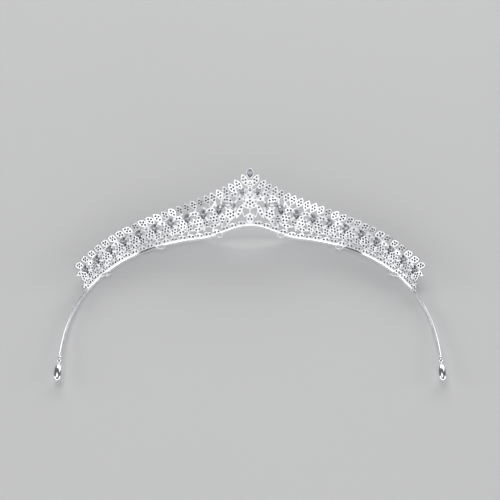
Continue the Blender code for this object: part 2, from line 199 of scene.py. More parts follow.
def band_height(s):
    """Height of the band's strip, which narrows towards its ends."""
    share = (abs(s) - TAPER_START) / (HALF_LENGTH - END_MARGIN - TAPER_START)
    return BAND_HEIGHT - (BAND_HEIGHT - END_HEIGHT) * min(max(share, 0.0), 1.0)


def level(s, low, rise):
    """Height that falls off exponentially from the centre towards the ends."""
    return low + rise * math.exp(-abs(s) / DECAY)


def anchor(m):
    """Top of module m's fan of leaves."""
    s = FIRST_ANCHOR + MODULE_STEP * m + MODULE_GROWTH * m * m
    return s, level(s, ANCHOR_LOW, ANCHOR_RISE)


def module_scale(m):
    """How tall module m's fan is beside the standard one."""
    s, h = anchor(m)
    return (h - arch(s) - BASE_TOP + 0.8) / MODULE_HEIGHT


def top_leaf(n):
    """Tip and foot of leaf n of the crest; the leaves before 0 belong to the centre."""
    if n < 0:
        s = CENTRE_TIPS[n + len(CENTRE_TIPS)]
    else:
        s = FIRST_TIP + TIP_STEP * n + TIP_GROWTH * n * n
    tilt = math.radians(min(max(12 + 1.09 * (s - 15), 20), 50))
    if n in (-5, -4):
        tilt = math.radians(35)
    length = level(s, 4.2, 1.6)
    h = level(s, CREST_LOW, CREST_RISE)
    return (s, h), (s - length * math.sin(tilt), h - length * math.cos(tilt))


def pear_place(m):
    """Centre of the pear stone after module m; -1 is the shoulder's."""
    if m < 0:
        return SHOULDER_PEAR
    s, h = anchor(m)
    return s + PEAR_OFFSET, h


# Materials

def new_material(name, colour, metallic, roughness):
    """Principled material; returns it with its tree, shader and object coordinates."""
    material = bpy.data.materials.new(name)
    material.use_nodes = True
    tree = material.node_tree
    shader = tree.nodes["Principled BSDF"]
    shader.inputs["Base Color"].default_value = (*colour, 1.0)
    shader.inputs["Metallic"].default_value = metallic
    shader.inputs["Roughness"].default_value = roughness
    place = tree.nodes.new("ShaderNodeTexCoord")
    return material, tree, shader, place.outputs["Object"]


def noise(tree, place, scale, detail=3.0, rough=0.55):
    """Noise value at a place."""
    node = tree.nodes.new("ShaderNodeTexNoise")
    node.inputs["Scale"].default_value = scale
    node.inputs["Detail"].default_value = detail
    node.inputs["Roughness"].default_value = rough
    tree.links.new(place, node.inputs["Vector"])
    return node.outputs["Fac"]


def ramp(tree, value, low, high):
    """Map a 0 to 1 value onto a colour or number range."""
    node = tree.nodes.new("ShaderNodeMapRange")
    node.inputs["From Min"].default_value = 0.3
    node.inputs["From Max"].default_value = 0.7
    node.inputs["To Min"].default_value = low
    node.inputs["To Max"].default_value = high
    tree.links.new(value, node.inputs["Value"])
    return node.outputs["Result"]


def tint(tree, value, low, high):
    """Blend of two colours by a 0 to 1 value."""
    node = tree.nodes.new("ShaderNodeMix")
    node.data_type = "RGBA"
    node.inputs["A"].default_value = (*low, 1.0)
    node.inputs["B"].default_value = (*high, 1.0)
    tree.links.new(value, node.inputs["Factor"])
    return node.outputs["Result"]


def bump(tree, shader, height, strength, distance):
    """Roughen a shader's normal with a height value."""
    node = tree.nodes.new("ShaderNodeBump")
    node.inputs["Strength"].default_value = strength
    node.inputs["Distance"].default_value = distance
    tree.links.new(height, node.inputs["Height"])
    tree.links.new(node.outputs["Normal"], shader.inputs["Normal"])


def cast_metal():
    """Rhodium-plated cast plates: bright, faintly grained, with cloudy polish."""
    material, tree, shader, place = new_material("rhodium_cast", (0.9, 0.91, 0.93), 1.0, 0.2)
    cloud = noise(tree, place, 420.0)
    grain = noise(tree, place, 3800.0, 2.0)
    tree.links.new(ramp(tree, cloud, 0.3, 0.42), shader.inputs["Roughness"])
    tree.links.new(tint(tree, ramp(tree, cloud, 0.0, 1.0), (0.83, 0.84, 0.87), (0.95, 0.955, 0.965)),
                   shader.inputs["Base Color"])
    bump(tree, shader, grain, 0.25, 0.00002)
    return material


def polished_metal():
    """Rhodium-plated strip and wire: mirror polish with hairline rubbing marks."""
    material, tree, shader, place = new_material("rhodium_polish", (0.9, 0.91, 0.92), 1.0, 0.08)
    stretch = tree.nodes.new("ShaderNodeMapping")
    stretch.inputs["Scale"].default_value = (1.0, 1.0, 16.0)
    tree.links.new(place, stretch.inputs["Vector"])
    hairline = noise(tree, stretch.outputs["Vector"], 700.0, 4.0, 0.7)
    smudge = noise(tree, place, 90.0)
    tree.links.new(ramp(tree, smudge, 0.05, 0.15), shader.inputs["Roughness"])
    tree.links.new(tint(tree, ramp(tree, smudge, 0.0, 1.0), (0.84, 0.85, 0.87), (0.93, 0.94, 0.95)),
                   shader.inputs["Base Color"])
    bump(tree, shader, hairline, 0.12, 0.00001)
    return material


def painted_shade_metal(name, low, high, rough_low, rough_high):
    """Unpolished walls and drilled seats, darkened with painted shade that stands in for the shade in
    recesses and holes.
    """
    material, tree, shader, place = new_material(name, high, 1.0, rough_high)
    cloud = noise(tree, place, 1500.0)
    tree.links.new(ramp(tree, cloud, rough_low, rough_high), shader.inputs["Roughness"])
    tree.links.new(tint(tree, cloud, low, high), shader.inputs["Base Color"])
    bump(tree, shader, noise(tree, place, 6000.0), 0.3, 0.00002)
    return material


def clear_stone(name, low, high):
    """Faceted cubic zirconia with faint surface haze."""
    material, tree, shader, place = new_material(name, high, 0.0, 0.0)
    shader.inputs["IOR"].default_value = 2.16
    shader.inputs["Transmission Weight"].default_value = 1.0
    haze = noise(tree, place, 900.0)
    tree.links.new(ramp(tree, haze, 0.0, 0.04), shader.inputs["Roughness"])
    tree.links.new(tint(tree, haze, low, high), shader.inputs["Base Color"])
    return material


def floor_material():
    """Pale matt floor with a faint cloud."""
    material, tree, shader, place = new_material("pale_floor", (0.7, 0.7, 0.7), 0.0, 0.6)
    cloud = noise(tree, place, 3.0)
    tree.links.new(tint(tree, cloud, (0.66, 0.66, 0.665), (0.7, 0.7, 0.7)), shader.inputs["Base Color"])
    return material


# The seat and wall kinds are darker metals: painted shade in the holes and on the walls.
CAST, SEAT_PAINTED_SHADE, WALL_PAINTED_SHADE, STONE, STONE_BACK_PAINTED_SHADE, GREY_STONE, GREY_BACK_PAINTED_SHADE, POLISH = range(8)


# Flat shapes, in millimetres on the sheet

def leaf_outline(tip, foot, width, steps=12, blunt=0.8):
    """Pointed oval between two points."""
    axis = Vector(tip) - Vector(foot)
    across = Vector((axis.y, -axis.x)).normalized() * width / 2
    points = []
    for side in (1, -1):
        for k in range(steps):
            share = k / steps if side > 0 else 1 - k / steps
            points.append(Vector(foot) + axis * share
                          + across * side * math.sin(math.pi * share) ** blunt)
    return points


def bar(start, end, width, steps=5):
    """Round-ended bar."""
    axis = (Vector(end) - Vector(start)).normalized()
    turn = math.atan2(axis.y, axis.x)
    points = []
    for centre, first in ((Vector(end), -math.pi / 2), (Vector(start), math.pi / 2)):
        for k in range(steps + 1):
            a = turn + first + math.pi * k / steps
            points.append(centre + Vector((math.cos(a), math.sin(a))) * width / 2)
    return points


def hug(holes, margin, tip=None, samples=44):
    """Scalloped outline that follows a cluster of holes, with an optional point."""
    centre = sum((Vector(h) for h in holes), Vector((0, 0))) / len(holes)
    circles = [(Vector(h), margin) for h in holes] + [(centre, margin)]
    if tip is not None:
        reach = Vector(tip) - centre
        circles += [(centre + reach * t, margin * (1.02 - t)) for t in (0.45, 0.6, 0.72, 0.82, 0.9, 0.96)]
    points = []
    for k in range(samples):
        a = 2 * math.pi * k / samples
        ray = Vector((math.cos(a), math.sin(a)))
        far = 0.0
        for place, radius in circles:
            offset = place - centre
            along = offset.dot(ray)
            miss = offset.length_squared - along * along
            if miss < radius * radius:
                far = max(far, along + math.sqrt(radius * radius - miss))
        points.append(centre + ray * far)
    return points


def pear_outline(centre, length, width, tilt, grow=0.0, samples=28):
    """Pear-cut outline, round end up, point down."""
    turn = math.radians(tilt)
    points = []
    for k in range(samples):
        a = 2 * math.pi * k / samples
        taper = 1 - PEAR_TAPER * (1 - math.cos(a)) / 2
        across = (width / 2 + grow) * math.sin(a) * taper
        along = (length / 2 + grow) * math.cos(a)
        points.append(Vector(centre) + Vector((across * math.cos(turn) + along * math.sin(turn),
                                               along * math.cos(turn) - across * math.sin(turn))))
    return points


# Solid builder: collects flat geometry and folds it into one object

class Piece:
    """One visual object, gathered flat as points, faces and the kind of each face."""

    def __init__(self, side=1):
        self.side = side
        self.points = []
        self.faces = []
        self.kinds = []
        self.smooth = []
        self.holes = []

    def add(self, points, faces, kind, smooth=False):
        """Append a closed shape; kind is one number or a list with one for each face."""
        start = len(self.points)
        self.points.extend(points)
        self.faces.extend([tuple(start + i for i in face) for face in faces])
        kinds = kind if isinstance(kind, list) else [kind] * len(faces)
        self.kinds.extend(kinds)
        self.smooth.extend([smooth] * len(faces))

    def finish(self, name, nodes, slot, materials):
        """Fold the piece round the head and let it stand for its CAD nodes."""
        flat = np.array(self.points, float)
        flat[:, 0] *= self.side
        mesh = bpy.data.meshes.new(name)
        mesh.from_pydata(on_sheet(flat).tolist(), [], self.faces)
        used = sorted(set(self.kinds))
        for kind in used:
            mesh.materials.append(materials[kind])
        mesh.polygons.foreach_set("material_index", [used.index(kind) for kind in self.kinds])
        mesh.polygons.foreach_set("use_smooth", self.smooth)
        mesh.update()
        bm = bmesh.new()
        bm.from_mesh(mesh)
        bmesh.ops.recalc_face_normals(bm, faces=bm.faces)
        bm.to_mesh(mesh)
        bm.free()
        obj = bpy.data.objects.new(name, mesh)
        bpy.context.scene.collection.objects.link(obj)
        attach(obj, "root")
        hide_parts(*nodes)
        return obj


def curve_mesh(loops, near, far, rounding):
    """Flat plate with holes and rounded edges, from outline and hole loops."""
    curve = bpy.data.curves.new("plate", "CURVE")
    curve.dimensions = "2D"
    curve.fill_mode = "BOTH"
    curve.extrude = (far - near) / 2 - rounding
    curve.bevel_depth = rounding
    curve.bevel_resolution = 1
    curve.offset = -rounding
    for loop in loops:
        spline = curve.splines.new("POLY")
        spline.points.add(len(loop) - 1)
        for point, place in zip(spline.points, loop):
            point.co = (place[0], place[1], 0.0, 1.0)
        spline.use_cyclic_u = True
    obj = bpy.data.objects.new("plate", curve)
    bpy.context.scene.collection.objects.link(obj)
    bpy.context.view_layer.update()
    mesh = bpy.data.meshes.new_from_object(obj.evaluated_get(bpy.context.evaluated_depsgraph_get()))
    bm = bmesh.new()
    bm.from_mesh(mesh)
    bmesh.ops.remove_doubles(bm, verts=bm.verts, dist=WELD)
    points = [(v.co.x, v.co.y, v.co.z + (near + far) / 2) for v in bm.verts]
    faces = [[v.index for v in f.verts] for f in bm.faces]
    bm.free()
    bpy.data.objects.remove(obj, do_unlink=True)
    bpy.data.curves.remove(curve)
    bpy.data.meshes.remove(mesh)
    return points, faces


def ring(centre, radius, sides=HOLE_SIDES):
    """Regular polygon round a hole or a stone."""
    return [Vector(centre) + Vector((math.cos(2 * math.pi * k / sides), math.sin(2 * math.pi * k / sides)))
            * radius for k in range(sides)]


def tilted(points, centre, slope):
    """Lean a plate a little, as hand-set leaves do."""
    return [(x, y, z + slope[0] * (x - centre[0]) + slope[1] * (y - centre[1])) for x, y, z in points]


def add_plate(piece, outline, holes=(), draw=None, lift=0.0, radius=HOLE_RADIUS, gaps=(),
              spread=TILT_SPREAD):
    """Leaf plate with drilled holes, each with its stone and beads on the front."""
    loops = [outline] + [ring(hole, radius) for hole in holes] + list(gaps)
    points, faces = curve_mesh(loops, lift, lift + PLATE_DEPTH, PLATE_ROUND)
    centre = sum((Vector(p) for p in outline), Vector((0, 0))) / len(outline)
    slope = (draw.gauss(0, spread), draw.gauss(0, spread)) if draw else (0.0, 0.0)
    piece.add(tilted(points, centre, slope), faces, plate_kinds(points, faces, holes, radius))
    piece.holes.extend(holes)
    beads = []
    for hole in holes:
        add_brilliant(piece, hole, lift + STONE_SEAT, STONE_RADIUS, centre, slope)
        for k in range(4):
            a = math.pi / 4 + k * math.pi / 2
            place = Vector(hole) + Vector((math.cos(a), math.sin(a))) * (STONE_RADIUS + BEAD_OFFSET)
            crowded = any((place - Vector(other)).length < STONE_RADIUS for other in holes if other != hole)
            doubled = any((place - other).length < BEAD_SPACING * BEAD_RADIUS for other in beads)
            if not crowded and not doubled:
                beads.append(place)
                add_bead(piece, place, lift + PLATE_DEPTH, centre, slope)


def add_stems(piece, stems, width=STEM_WIDTH):
    """Bars that join the plates, cut back where they would cover a hole."""
    clear = HOLE_RADIUS + width / 2 - 0.05

    def covers(place):
        return any((place - Vector(hole)).length < clear for hole in piece.holes)

    for start, end in stems:
        start, end = Vector(start), Vector(end)
        step = (end - start).normalized() * STEM_STEP
        while covers(start) and (end - start).length > 2 * STEM_STEP:
            start = start + step
        while covers(end) and (end - start).length > 2 * STEM_STEP:
            end = end - step
        points, faces = curve_mesh([bar(start, end, width)], STEM_LIFT, STEM_LIFT + STEM_DEPTH, STEM_ROUND)
        piece.add(points, faces, plate_kinds(points, faces, (), 0.0))


def plate_kinds(points, faces, holes, radius):
    """Metal of each face: drilled seats and outer walls in darker metal that is painted shade, or the
    polished faces.
    """
    kinds = []
    for face in faces:
        corners = [Vector(points[i]) for i in face]
        middle = sum(corners, Vector((0, 0, 0))) / len(corners)
        normal = (corners[1] - corners[0]).cross(corners[2] - corners[1]).normalized()
        if any((middle.xy - Vector(hole)).length < radius * 1.02 for hole in holes):
            kinds.append(SEAT_PAINTED_SHADE)
        elif abs(normal.z) < WALL_SLOPE:
            kinds.append(WALL_PAINTED_SHADE)
        else:
            kinds.append(CAST)
    return kinds


def add_brilliant(piece, place, seat, radius, centre, slope):
    """Round brilliant: table, star and bezel facets, pavilion down to the culet, the pavilion darkened with
    painted shade.
    """
    points = [(place[0], place[1], seat - PAVILION * radius)]
    points += [(p.x, p.y, seat) for p in ring(place, radius, 16)]
    points += [(p.x, p.y, seat + CROWN_RISE * radius) for p in ring(place, radius * TABLE, 8)]
    faces = [(0, 1 + (k + 1) % 16, 1 + k) for k in range(16)]
    for k in range(8):
        a, b = 17 + k, 17 + (k + 1) % 8
        j = 2 * k
        faces.append((a, 1 + (j - 1) % 16, 1 + j, 1 + (j + 1) % 16))
        faces.append((a, 1 + (j + 1) % 16, b))
    faces.append(tuple(17 + k for k in range(8)))
    # The pavilion facets take the dark stone-back material: painted shade.
    piece.add(tilted(points, centre, slope), faces, [STONE_BACK_PAINTED_SHADE] * 16 + [STONE] * 17)


def add_bead(piece, place, seat, centre, slope):
    """Raised bead of metal that holds a stone."""
    points = []
    for radius, up in ((1.0, -0.4), (1.0, 0.7), (0.7, 1.45)):
        edge = ring(place, BEAD_RADIUS * radius, BEAD_SIDES)
        points += [(p.x, p.y, seat + BEAD_RADIUS * up) for p in edge]
    points.append((place[0], place[1], seat + BEAD_RADIUS * 1.75))
    faces = [tuple(range(BEAD_SIDES - 1, -1, -1))]
    for row in (0, BEAD_SIDES):
        for k in range(BEAD_SIDES):
            after = (k + 1) % BEAD_SIDES
            faces.append((row + k, row + after, row + BEAD_SIDES + after, row + BEAD_SIDES + k))
    last = 2 * BEAD_SIDES
    faces += [(last + k, last + (k + 1) % BEAD_SIDES, 3 * BEAD_SIDES) for k in range(BEAD_SIDES)]
    piece.add(tilted(points, centre, slope), faces, CAST, True)


def add_gem(piece, outline, centre, seat, crown, pavilion, kind):
    """Fancy-cut stone: table and two crown steps over the girdle, pavilion steps to a keel, the pavilion in
    a darker copy of the stone that is painted shade.
    """
    count = len(outline)
    rows = [(1.0, 0.0), (0.83, 0.55 * crown), (0.6, crown)]
    below = [(0.62, -0.55 * pavilion), (0.24, -0.92 * pavilion)]
    points = []
    for share, up in below[::-1] + rows:
        points += [(centre[0] + (p[0] - centre[0]) * share,
                    centre[1] + (p[1] - centre[1]) * share,
                    seat + up)
                   for p in outline]
    faces = []
    for row in range(4):
        a, b = row * count, (row + 1) * count
        faces += [(a + k, a + (k + 1) % count, b + (k + 1) % count, b + k) for k in range(count)]
    points.append((centre[0], centre[1], seat - pavilion))
    faces += [(len(points) - 1, (k + 1) % count, k) for k in range(count)]
    faces.append(tuple(4 * count + k for k in range(count)))
    # kind + 1 is the darker copy of the stone: painted shade on the pavilion and culet.
    kinds = [kind + 1] * (2 * count) + [kind] * (2 * count) + [kind + 1] * count + [kind]
    piece.add(points, faces, kinds)


def add_collet(piece, outer, inner, near, far, metal=WALL_PAINTED_SHADE):
    """Open-backed wall round a stone, by default in the darker wall metal that is painted shade."""
    points, faces = curve_mesh([outer, inner], near, far, COLLET_ROUND)
    piece.add(points, faces, metal)


def add_claws(piece, outline, count, seat, reach, centre):
    """Claws folded over a fancy-cut stone's edge."""
    for k in range(count):
        place = Vector(outline[(k * len(outline)) // count])
        inward = (Vector(centre) - place).normalized()
        add_bead(piece, place + inward * 0.12, seat + reach, centre, (0.0, 0.0))


# Sub-parts

def crest_holes(tip, foot):
    """Four holes of a crest leaf, one, two and one from tip to foot."""
    axis = Vector(tip) - Vector(foot)
    across = Vector((axis.y, -axis.x)).normalized()
    middle = Vector(foot) + axis * 0.49
    return [Vector(foot) + axis * 0.73, middle - across * 0.56 + axis * 0.02,
            middle + across * 0.5, Vector(foot) + axis * 0.25]


def add_crest_leaf(piece, n, draw, mirror=1):
    """Leaf n of the crest, with its four holes."""
    tip, foot = (Vector((s * mirror, h)) for s, h in top_leaf(n))
    add_plate(piece, leaf_outline(tip, foot, LEAF_WIDTH), crest_holes(tip, foot), draw,
              spread=CREST_TILT_SPREAD if n >= 0 else TILT_SPREAD)


def smooth_loop(points, steps=4):
    """Closed Catmull-Rom curve through a few outline points."""
    points = [Vector(p) for p in points]
    count = len(points)
    loop = []
    for k in range(count):
        a, b, c, d = (points[(k + step) % count] for step in (-1, 0, 1, 2))
        for step in range(steps):
            t = step / steps
            loop.append(b + 0.5 * t * (c - a + t * (2 * a - 5 * b + 4 * c - d + t * (3 * (b - c) + d - a))))
    return loop


def both_sides(half):
    """Closed outline from the right half of one, top to bottom."""
    return [Vector(p) for p in half] + [Vector((-p[0], p[1])) for p in half[::-1] if p[0] > 0]


def oval(centre, length, width, tilt, samples=14):
    """Pointed oval about a centre, leaning to +s by tilt degrees."""
    turn = math.radians(tilt)
    points = []
    for k in range(samples):
        a = 2 * math.pi * k / samples
        across, along = width / 2 * math.sin(a), length / 2 * math.cos(a)
        points.append(Vector(centre) + Vector((across * math.cos(turn) + along * math.sin(turn),
                                               along * math.cos(turn) - across * math.sin(turn))))
    return points


def crown_module(m, side, draw):
    """Crest leaves, bow, fan and low leaves of module m."""
    piece = Piece(side)
    s, h = anchor(m)
    k = module_scale(m)

    def at(along, up):
        return Vector((s + along, h + up * k))

    foot = top_leaf(2 * m)[1]
    add_crest_leaf(piece, 2 * m, draw)
    fan = [at(0.0, 0.0), at(-0.85, -1.15), at(0.45, -1.35), at(-0.55, -2.6), at(0.7, -2.75)]
    add_plate(piece, hug(fan, 0.9, at(0.2, -4.1)), fan, draw)
    if m < BOW_MODULES:
        bow = [at(1.0, 1.9), at(2.2, 1.85)]
        add_plate(piece, leaf_outline(at(3.6, 2.1), at(-0.4, 1.9), 2.1), bow, draw, lift=-0.08)
    else:
        bow = [at(1.4, 1.7)]
        add_plate(piece, leaf_outline(at(3.1, 1.7), at(-0.2, 1.9), 1.9), bow, draw, lift=-0.08)
    low = [at(0.0, -4.85), at(1.25, -5.0)]
    add_plate(piece, leaf_outline(at(2.8, -5.2), at(-1.5, -4.6), 1.95), low, draw, lift=-0.04)
    crest_stems = [(foot, at(1.5, 2.6))]
    stems = [(at(1.3, 1.5), at(0.4, 0.5)), (at(0.1, -3.6), at(0.3, -4.6)),
             (at(0.6, -5.4), at(0.9, -6.8)), (at(-1.4, -4.7), at(-1.9, -3.8))]
    if m < MODULES - 1:
        add_crest_leaf(piece, 2 * m + 1, draw)
        foot = top_leaf(2 * m + 1)[1]
        side_leaf = [at(1.65, -1.6)]
        add_plate(piece, hug(side_leaf, 0.84, at(2.3, 0.4)), side_leaf, draw, lift=0.05)
        low_fan = [at(3.25, -3.2), at(4.3, -3.5), at(3.45, -4.5), at(4.55, -4.8)]
        add_plate(piece, hug(low_fan, 0.85, at(2.9, -1.6)), low_fan, draw, lift=0.03)
        crest_stems.append((foot, at(3.2, 2.3)))
        stems += [(at(2.1, -2.0), at(3.0, -2.8)), (at(2.4, -5.3), at(3.4, -5.2)),
                  (at(4.3, -5.3), at(4.6, -6.8)), (at(3.2, 1.6), at(3.5, 1.0)),
                  (at(3.0, -1.9), at(3.7, -1.2)), (at(5.0, -3.4), at(5.6, -2.6))]
    add_stems(piece, crest_stems, CREST_STEM_WIDTH)
    add_stems(piece, stems)
    return piece


def add_set_pear(piece, centre, tilt, kind, metal):
    """Pear-cut stone in its own collet."""
    inner = pear_outline(centre, PEAR_LENGTH, PEAR_WIDTH, tilt, -0.3)
    outer = pear_outline(centre, PEAR_LENGTH, PEAR_WIDTH, tilt)
    add_collet(piece, outer, inner, 0.05, 0.95, metal)
    girdle = pear_outline(centre, PEAR_LENGTH, PEAR_WIDTH, tilt, -0.16, 20)
    add_gem(piece, girdle, centre, 0.95, 0.5, 0.95, kind)
    add_claws(piece, girdle, 5, 0.95, 0.2, centre)


def add_set_round(piece, centre, radius, kind):
    """Round stone in a thin open collar."""
    add_collet(piece, ring(centre, radius, 22), ring(centre, radius - 0.3, 22), 0.05, 0.85)
    add_gem(piece, ring(centre, radius - 0.16, 16), centre, 0.85, 0.4, 0.8, kind)
    add_claws(piece, ring(centre, radius - 0.16, 16), 4, 0.85, 0.15, centre)
    piece.holes.append(Vector(centre))


def shoulder_piece(side, draw):
    """Plates between the centre and the first module, with four crest leaves."""
    piece = Piece(side)
    for n in (-4, -3, -2, -1):
        add_crest_leaf(piece, n, draw)
    for outline, holes in (
            (((8.9, 13.9), (9.8, 12.9), (9.9, 11.2), (9.0, 9.6), (7.6, 8.9), (6.1, 10.2), (5.7, 12.2),
              (7.2, 13.4)),
             ((8.8, 12.8), (6.7, 12.3), (7.9, 11.7), (9.0, 11.3), (6.8, 10.9), (8.0, 10.3))),
            (((11.2, 12.0), (12.3, 10.8), (12.7, 9.5), (11.9, 8.0), (11.3, 6.3), (10.7, 8.0), (9.9, 9.4),
              (10.3, 10.8)), ((11.2, 10.6), (10.7, 9.35), (11.75, 9.5), (11.3, 8.1))),
            (((4.6, 21.3), (6.2, 21.2), (8.0, 20.5), (8.3, 19.4), (7.2, 18.9), (5.4, 19.4)),
             ((5.95, 20.3), (7.1, 19.8))),
            (((8.4, 20.0), (9.4, 20.0), (10.9, 18.5), (10.7, 17.2), (9.5, 16.8), (8.2, 16.5), (7.1, 16.9),
              (7.3, 18.2), (8.1, 18.6)), ((7.9, 17.5), (9.1, 19.0), (9.15, 17.8), (10.1, 17.9))),
            (((8.3, 8.9), (9.5, 9.2), (10.0, 8.2), (9.2, 7.3), (8.1, 7.5)), ((9.1, 8.2),))):
        add_plate(piece, smooth_loop(outline), [Vector(hole) for hole in holes], draw)
    add_set_round(piece, (6.9, 15.4), 1.15, GREY_STONE)
    add_set_round(piece, (10.6, 15.5), 1.1, GREY_STONE)
    add_stems(piece, (((8.2, 14.0), (7.4, 14.6)), ((9.6, 11.0), (10.5, 10.2)), ((7.6, 9.2), (8.4, 8.4)),
                      ((5.6, 21.6), (6.0, 20.9)), ((8.4, 19.6), (8.8, 19.2)), ((11.3, 18.5), (11.5, 15.8)),
                      ((14.0, 17.3), (13.6, 15.2)), ((11.3, 6.8), (11.3, 5.2)), ((7.2, 16.2), (7.3, 17.2)),
                      ((9.0, 7.6), (9.3, 6.2)), ((8.0, 15.4), (9.6, 15.5)), ((9.2, 13.4), (10.0, 14.6)),
                      ((14.0, 16.6), (15.3, 14.4)), ((6.3, 12.6), (5.6, 14.0)),
                      ((11.6, 15.0), (12.0, 14.6))))
    return piece


def centre_piece(draw):
    """Rosette, stem leaf and side leaves around the middle of the crown."""
    piece = Piece()
    rosette = [Vector(p) for p in ((0.0, 18.9), (0.0, 17.35), (-1.1, 16.6), (1.1, 16.6), (0.0, 15.85))]
    eyes = [oval((side * s, h), length, width, side * tilt)
            for s, h, length, width, tilt in ((0.85, 19.95, 0.9, 0.85, 0), (1.6, 15.2, 1.25, 0.7, 25),
                                              (2.4, 17.0, 0.9, 0.6, 0), (2.1, 18.5, 0.8, 0.7, -40))
            for side in (1, -1)]
    eyes.append(oval((0.0, 14.55), 0.8, 0.8, 0))
    body = both_sides(((0.0, 21.3), (0.9, 21.2), (1.7, 20.4), (2.2, 19.4), (3.0, 18.8), (3.1, 17.4),
                       (2.9, 16.0), (2.7, 14.7), (1.6, 13.9), (0.5, 13.6), (0.32, 12.8), (0.5, 11.8),
                       (1.25, 10.9),
                       (1.5, 9.6), (1.4, 8.0), (0.8, 7.2), (0.0, 7.1)))
    foot = [Vector((0.0, 10.5)), Vector((-0.6, 9.2)), Vector((0.6, 9.2))]
    add_plate(piece, smooth_loop(body), rosette + foot, gaps=eyes)
    cluster = [Vector(p) for p in ((-0.45, 24.6), (0.45, 24.6), (0.0, 25.5))]
    neck = both_sides(((0.0, 26.7), (0.8, 26.2), (0.95, 24.9), (0.95, 23.4), (1.0, 22.2), (0.85, 21.2),
                       (0.0, 20.9)))
    add_plate(piece, smooth_loop(neck), cluster, draw, -0.1, 0.26,
              [oval((0.0, 23.55), 0.6, 0.8, 0), oval((0.0, 22.2), 1.3, 1.1, 0)])
    add_gem(piece, oval((0.0, 22.2), 1.4, 1.2, 0), (0.0, 22.2), 0.35, 0.3, 0.5, GREY_STONE)
    for mirror in (1, -1):
        def at(s, h):
            return Vector((s * mirror, h))

        add_crest_leaf(piece, -6, draw, mirror)
        add_crest_leaf(piece, -5, draw, mirror)
        leaf = [at(3.6, 14.4), at(4.1, 12.9), at(4.7, 11.4)]
        add_plate(piece, leaf_outline(at(5.7, 9.4), at(2.8, 16.0), 2.2), leaf, draw)
        bud = [at(4.2, 18.1)]
        add_plate(piece, leaf_outline(at(6.3, 19.4), at(2.7, 17.1), 2.1), bud, draw, lift=0.04)
        stems = ((at(0.8, 24.4), at(1.4, 24.0)), (at(3.3, 22.9), at(3.0, 23.6)),
                 (at(0.9, 21.8), at(1.8, 22.4)), (at(1.8, 19.9), at(2.3, 20.3)),
                 (at(2.9, 17.6), at(3.4, 17.5)), (at(2.6, 14.6), at(3.1, 15.0)),
                 (at(4.4, 19.0), at(4.0, 19.8)), (at(5.3, 17.6), at(6.2, 16.4)))
        add_stems(piece, stems, 0.7)
        add_stems(piece, ((at(1.0, 11.4), at(2.3, 10.0)), (at(2.3, 10.0), at(3.3, 13.0))), 0.5)
    return piece


def marquise_piece():
    """Marquise stone at the top of the centre, in its collet."""
    piece = Piece()
    top = (0.0, MARQUISE_CENTRE + MARQUISE_LENGTH / 2)
    foot = (0.0, MARQUISE_CENTRE - MARQUISE_LENGTH / 2)
    outer = leaf_outline(top, foot, MARQUISE_WIDTH, 14, MARQUISE_BLUNT)
    centre = Vector((0.0, MARQUISE_CENTRE))
    inner = [centre + (p - centre) * 0.8 for p in outer]
    add_collet(piece, outer, inner, 0.0, 1.0, CAST)
    rim = leaf_outline(top, foot, MARQUISE_WIDTH, 10, MARQUISE_BLUNT)
    girdle = [centre + (p - centre) * 0.9 for p in rim]
    add_gem(piece, girdle, centre, 1.0, 0.5, 1.0, GREY_STONE)
    add_claws(piece, girdle, 4, 1.0, 0.2, centre)
    return piece


def base_row_piece(side, draw):
    """Rail on the band's edge with its row of low two-stone leaves."""
    piece = Piece(side)
    stations = np.linspace(0.0, CROWN_END, 160)
    lower = [(s, arch(s) + BAND_HEIGHT - 0.1) for s in stations]
    upper = [(s, arch(s) + BAND_HEIGHT + 0.3) for s in stations]
    add_ribbon(piece, lower, upper, -0.06, 0.6)
    for k in range(LOW_LEAVES):
        s = LOW_LEAF_START + LOW_LEAF_STEP * k
        base = arch(s) + BAND_HEIGHT
        rise = arch(s + 1) - arch(s)
        holes = [Vector((s, base + 0.62)), Vector((s + 1.35, base + 0.9 + 1.35 * rise))]
        tip = Vector((s + 2.7, base + 1.75 + 2.7 * rise))
        foot = Vector((s - 1.35, base + 0.05 - 1.35 * rise))
        add_plate(piece, leaf_outline(tip, foot, 1.95), holes, draw, lift=-0.14)
    return piece


def add_ribbon(piece, lower, upper, near, far):
    """Long strip between two edges."""
    count = len(lower)
    points = []
    for a, b in zip(lower, upper):
        points += [(a[0], a[1], near), (b[0], b[1], near), (b[0], b[1], far), (a[0], a[1], far)]
    faces = []
    for k in range(count - 1):
        for e in range(4):
            f = (e + 1) % 4
            faces.append((4 * k + e, 4 * k + f, 4 * k + 4 + f, 4 * k + 4 + e))
    faces += [(3, 2, 1, 0), tuple(4 * count - 4 + e for e in range(4))]
    piece.add(points, faces, CAST)


def band_piece():
    """Polished strip with rounded edges, narrower towards its ends."""
    piece = Piece()
    length = HALF_LENGTH - END_MARGIN
    points = []
    for k in range(BAND_STATIONS + 1):
        s = length * (2 * k / BAND_STATIONS - 1)
        top = band_height(s)
        corners = ((BAND_ROUND, BAND_ROUND), (BAND_THICK - BAND_ROUND, BAND_ROUND),
                   (BAND_THICK - BAND_ROUND, top - BAND_ROUND), (BAND_ROUND, top - BAND_ROUND))
        for (out, up), first in zip(corners, (180, 270, 0, 90)):
            for step in range(CORNER_STEPS + 1):
                a = math.radians(first + 90 * step / CORNER_STEPS)
                points.append((s, arch(s) + up + BAND_ROUND * math.sin(a), out + BAND_ROUND * math.cos(a)))
    count = 4 * (CORNER_STEPS + 1)
    faces = []
    for k in range(BAND_STATIONS):
        for e in range(count):
            f = (e + 1) % count
            faces.append((k * count + e, k * count + f, (k + 1) * count + f, (k + 1) * count + e))
    faces += [tuple(range(count)), tuple(BAND_STATIONS * count + e for e in reversed(range(count)))]
    piece.add(points, faces, POLISH, True)
    return piece


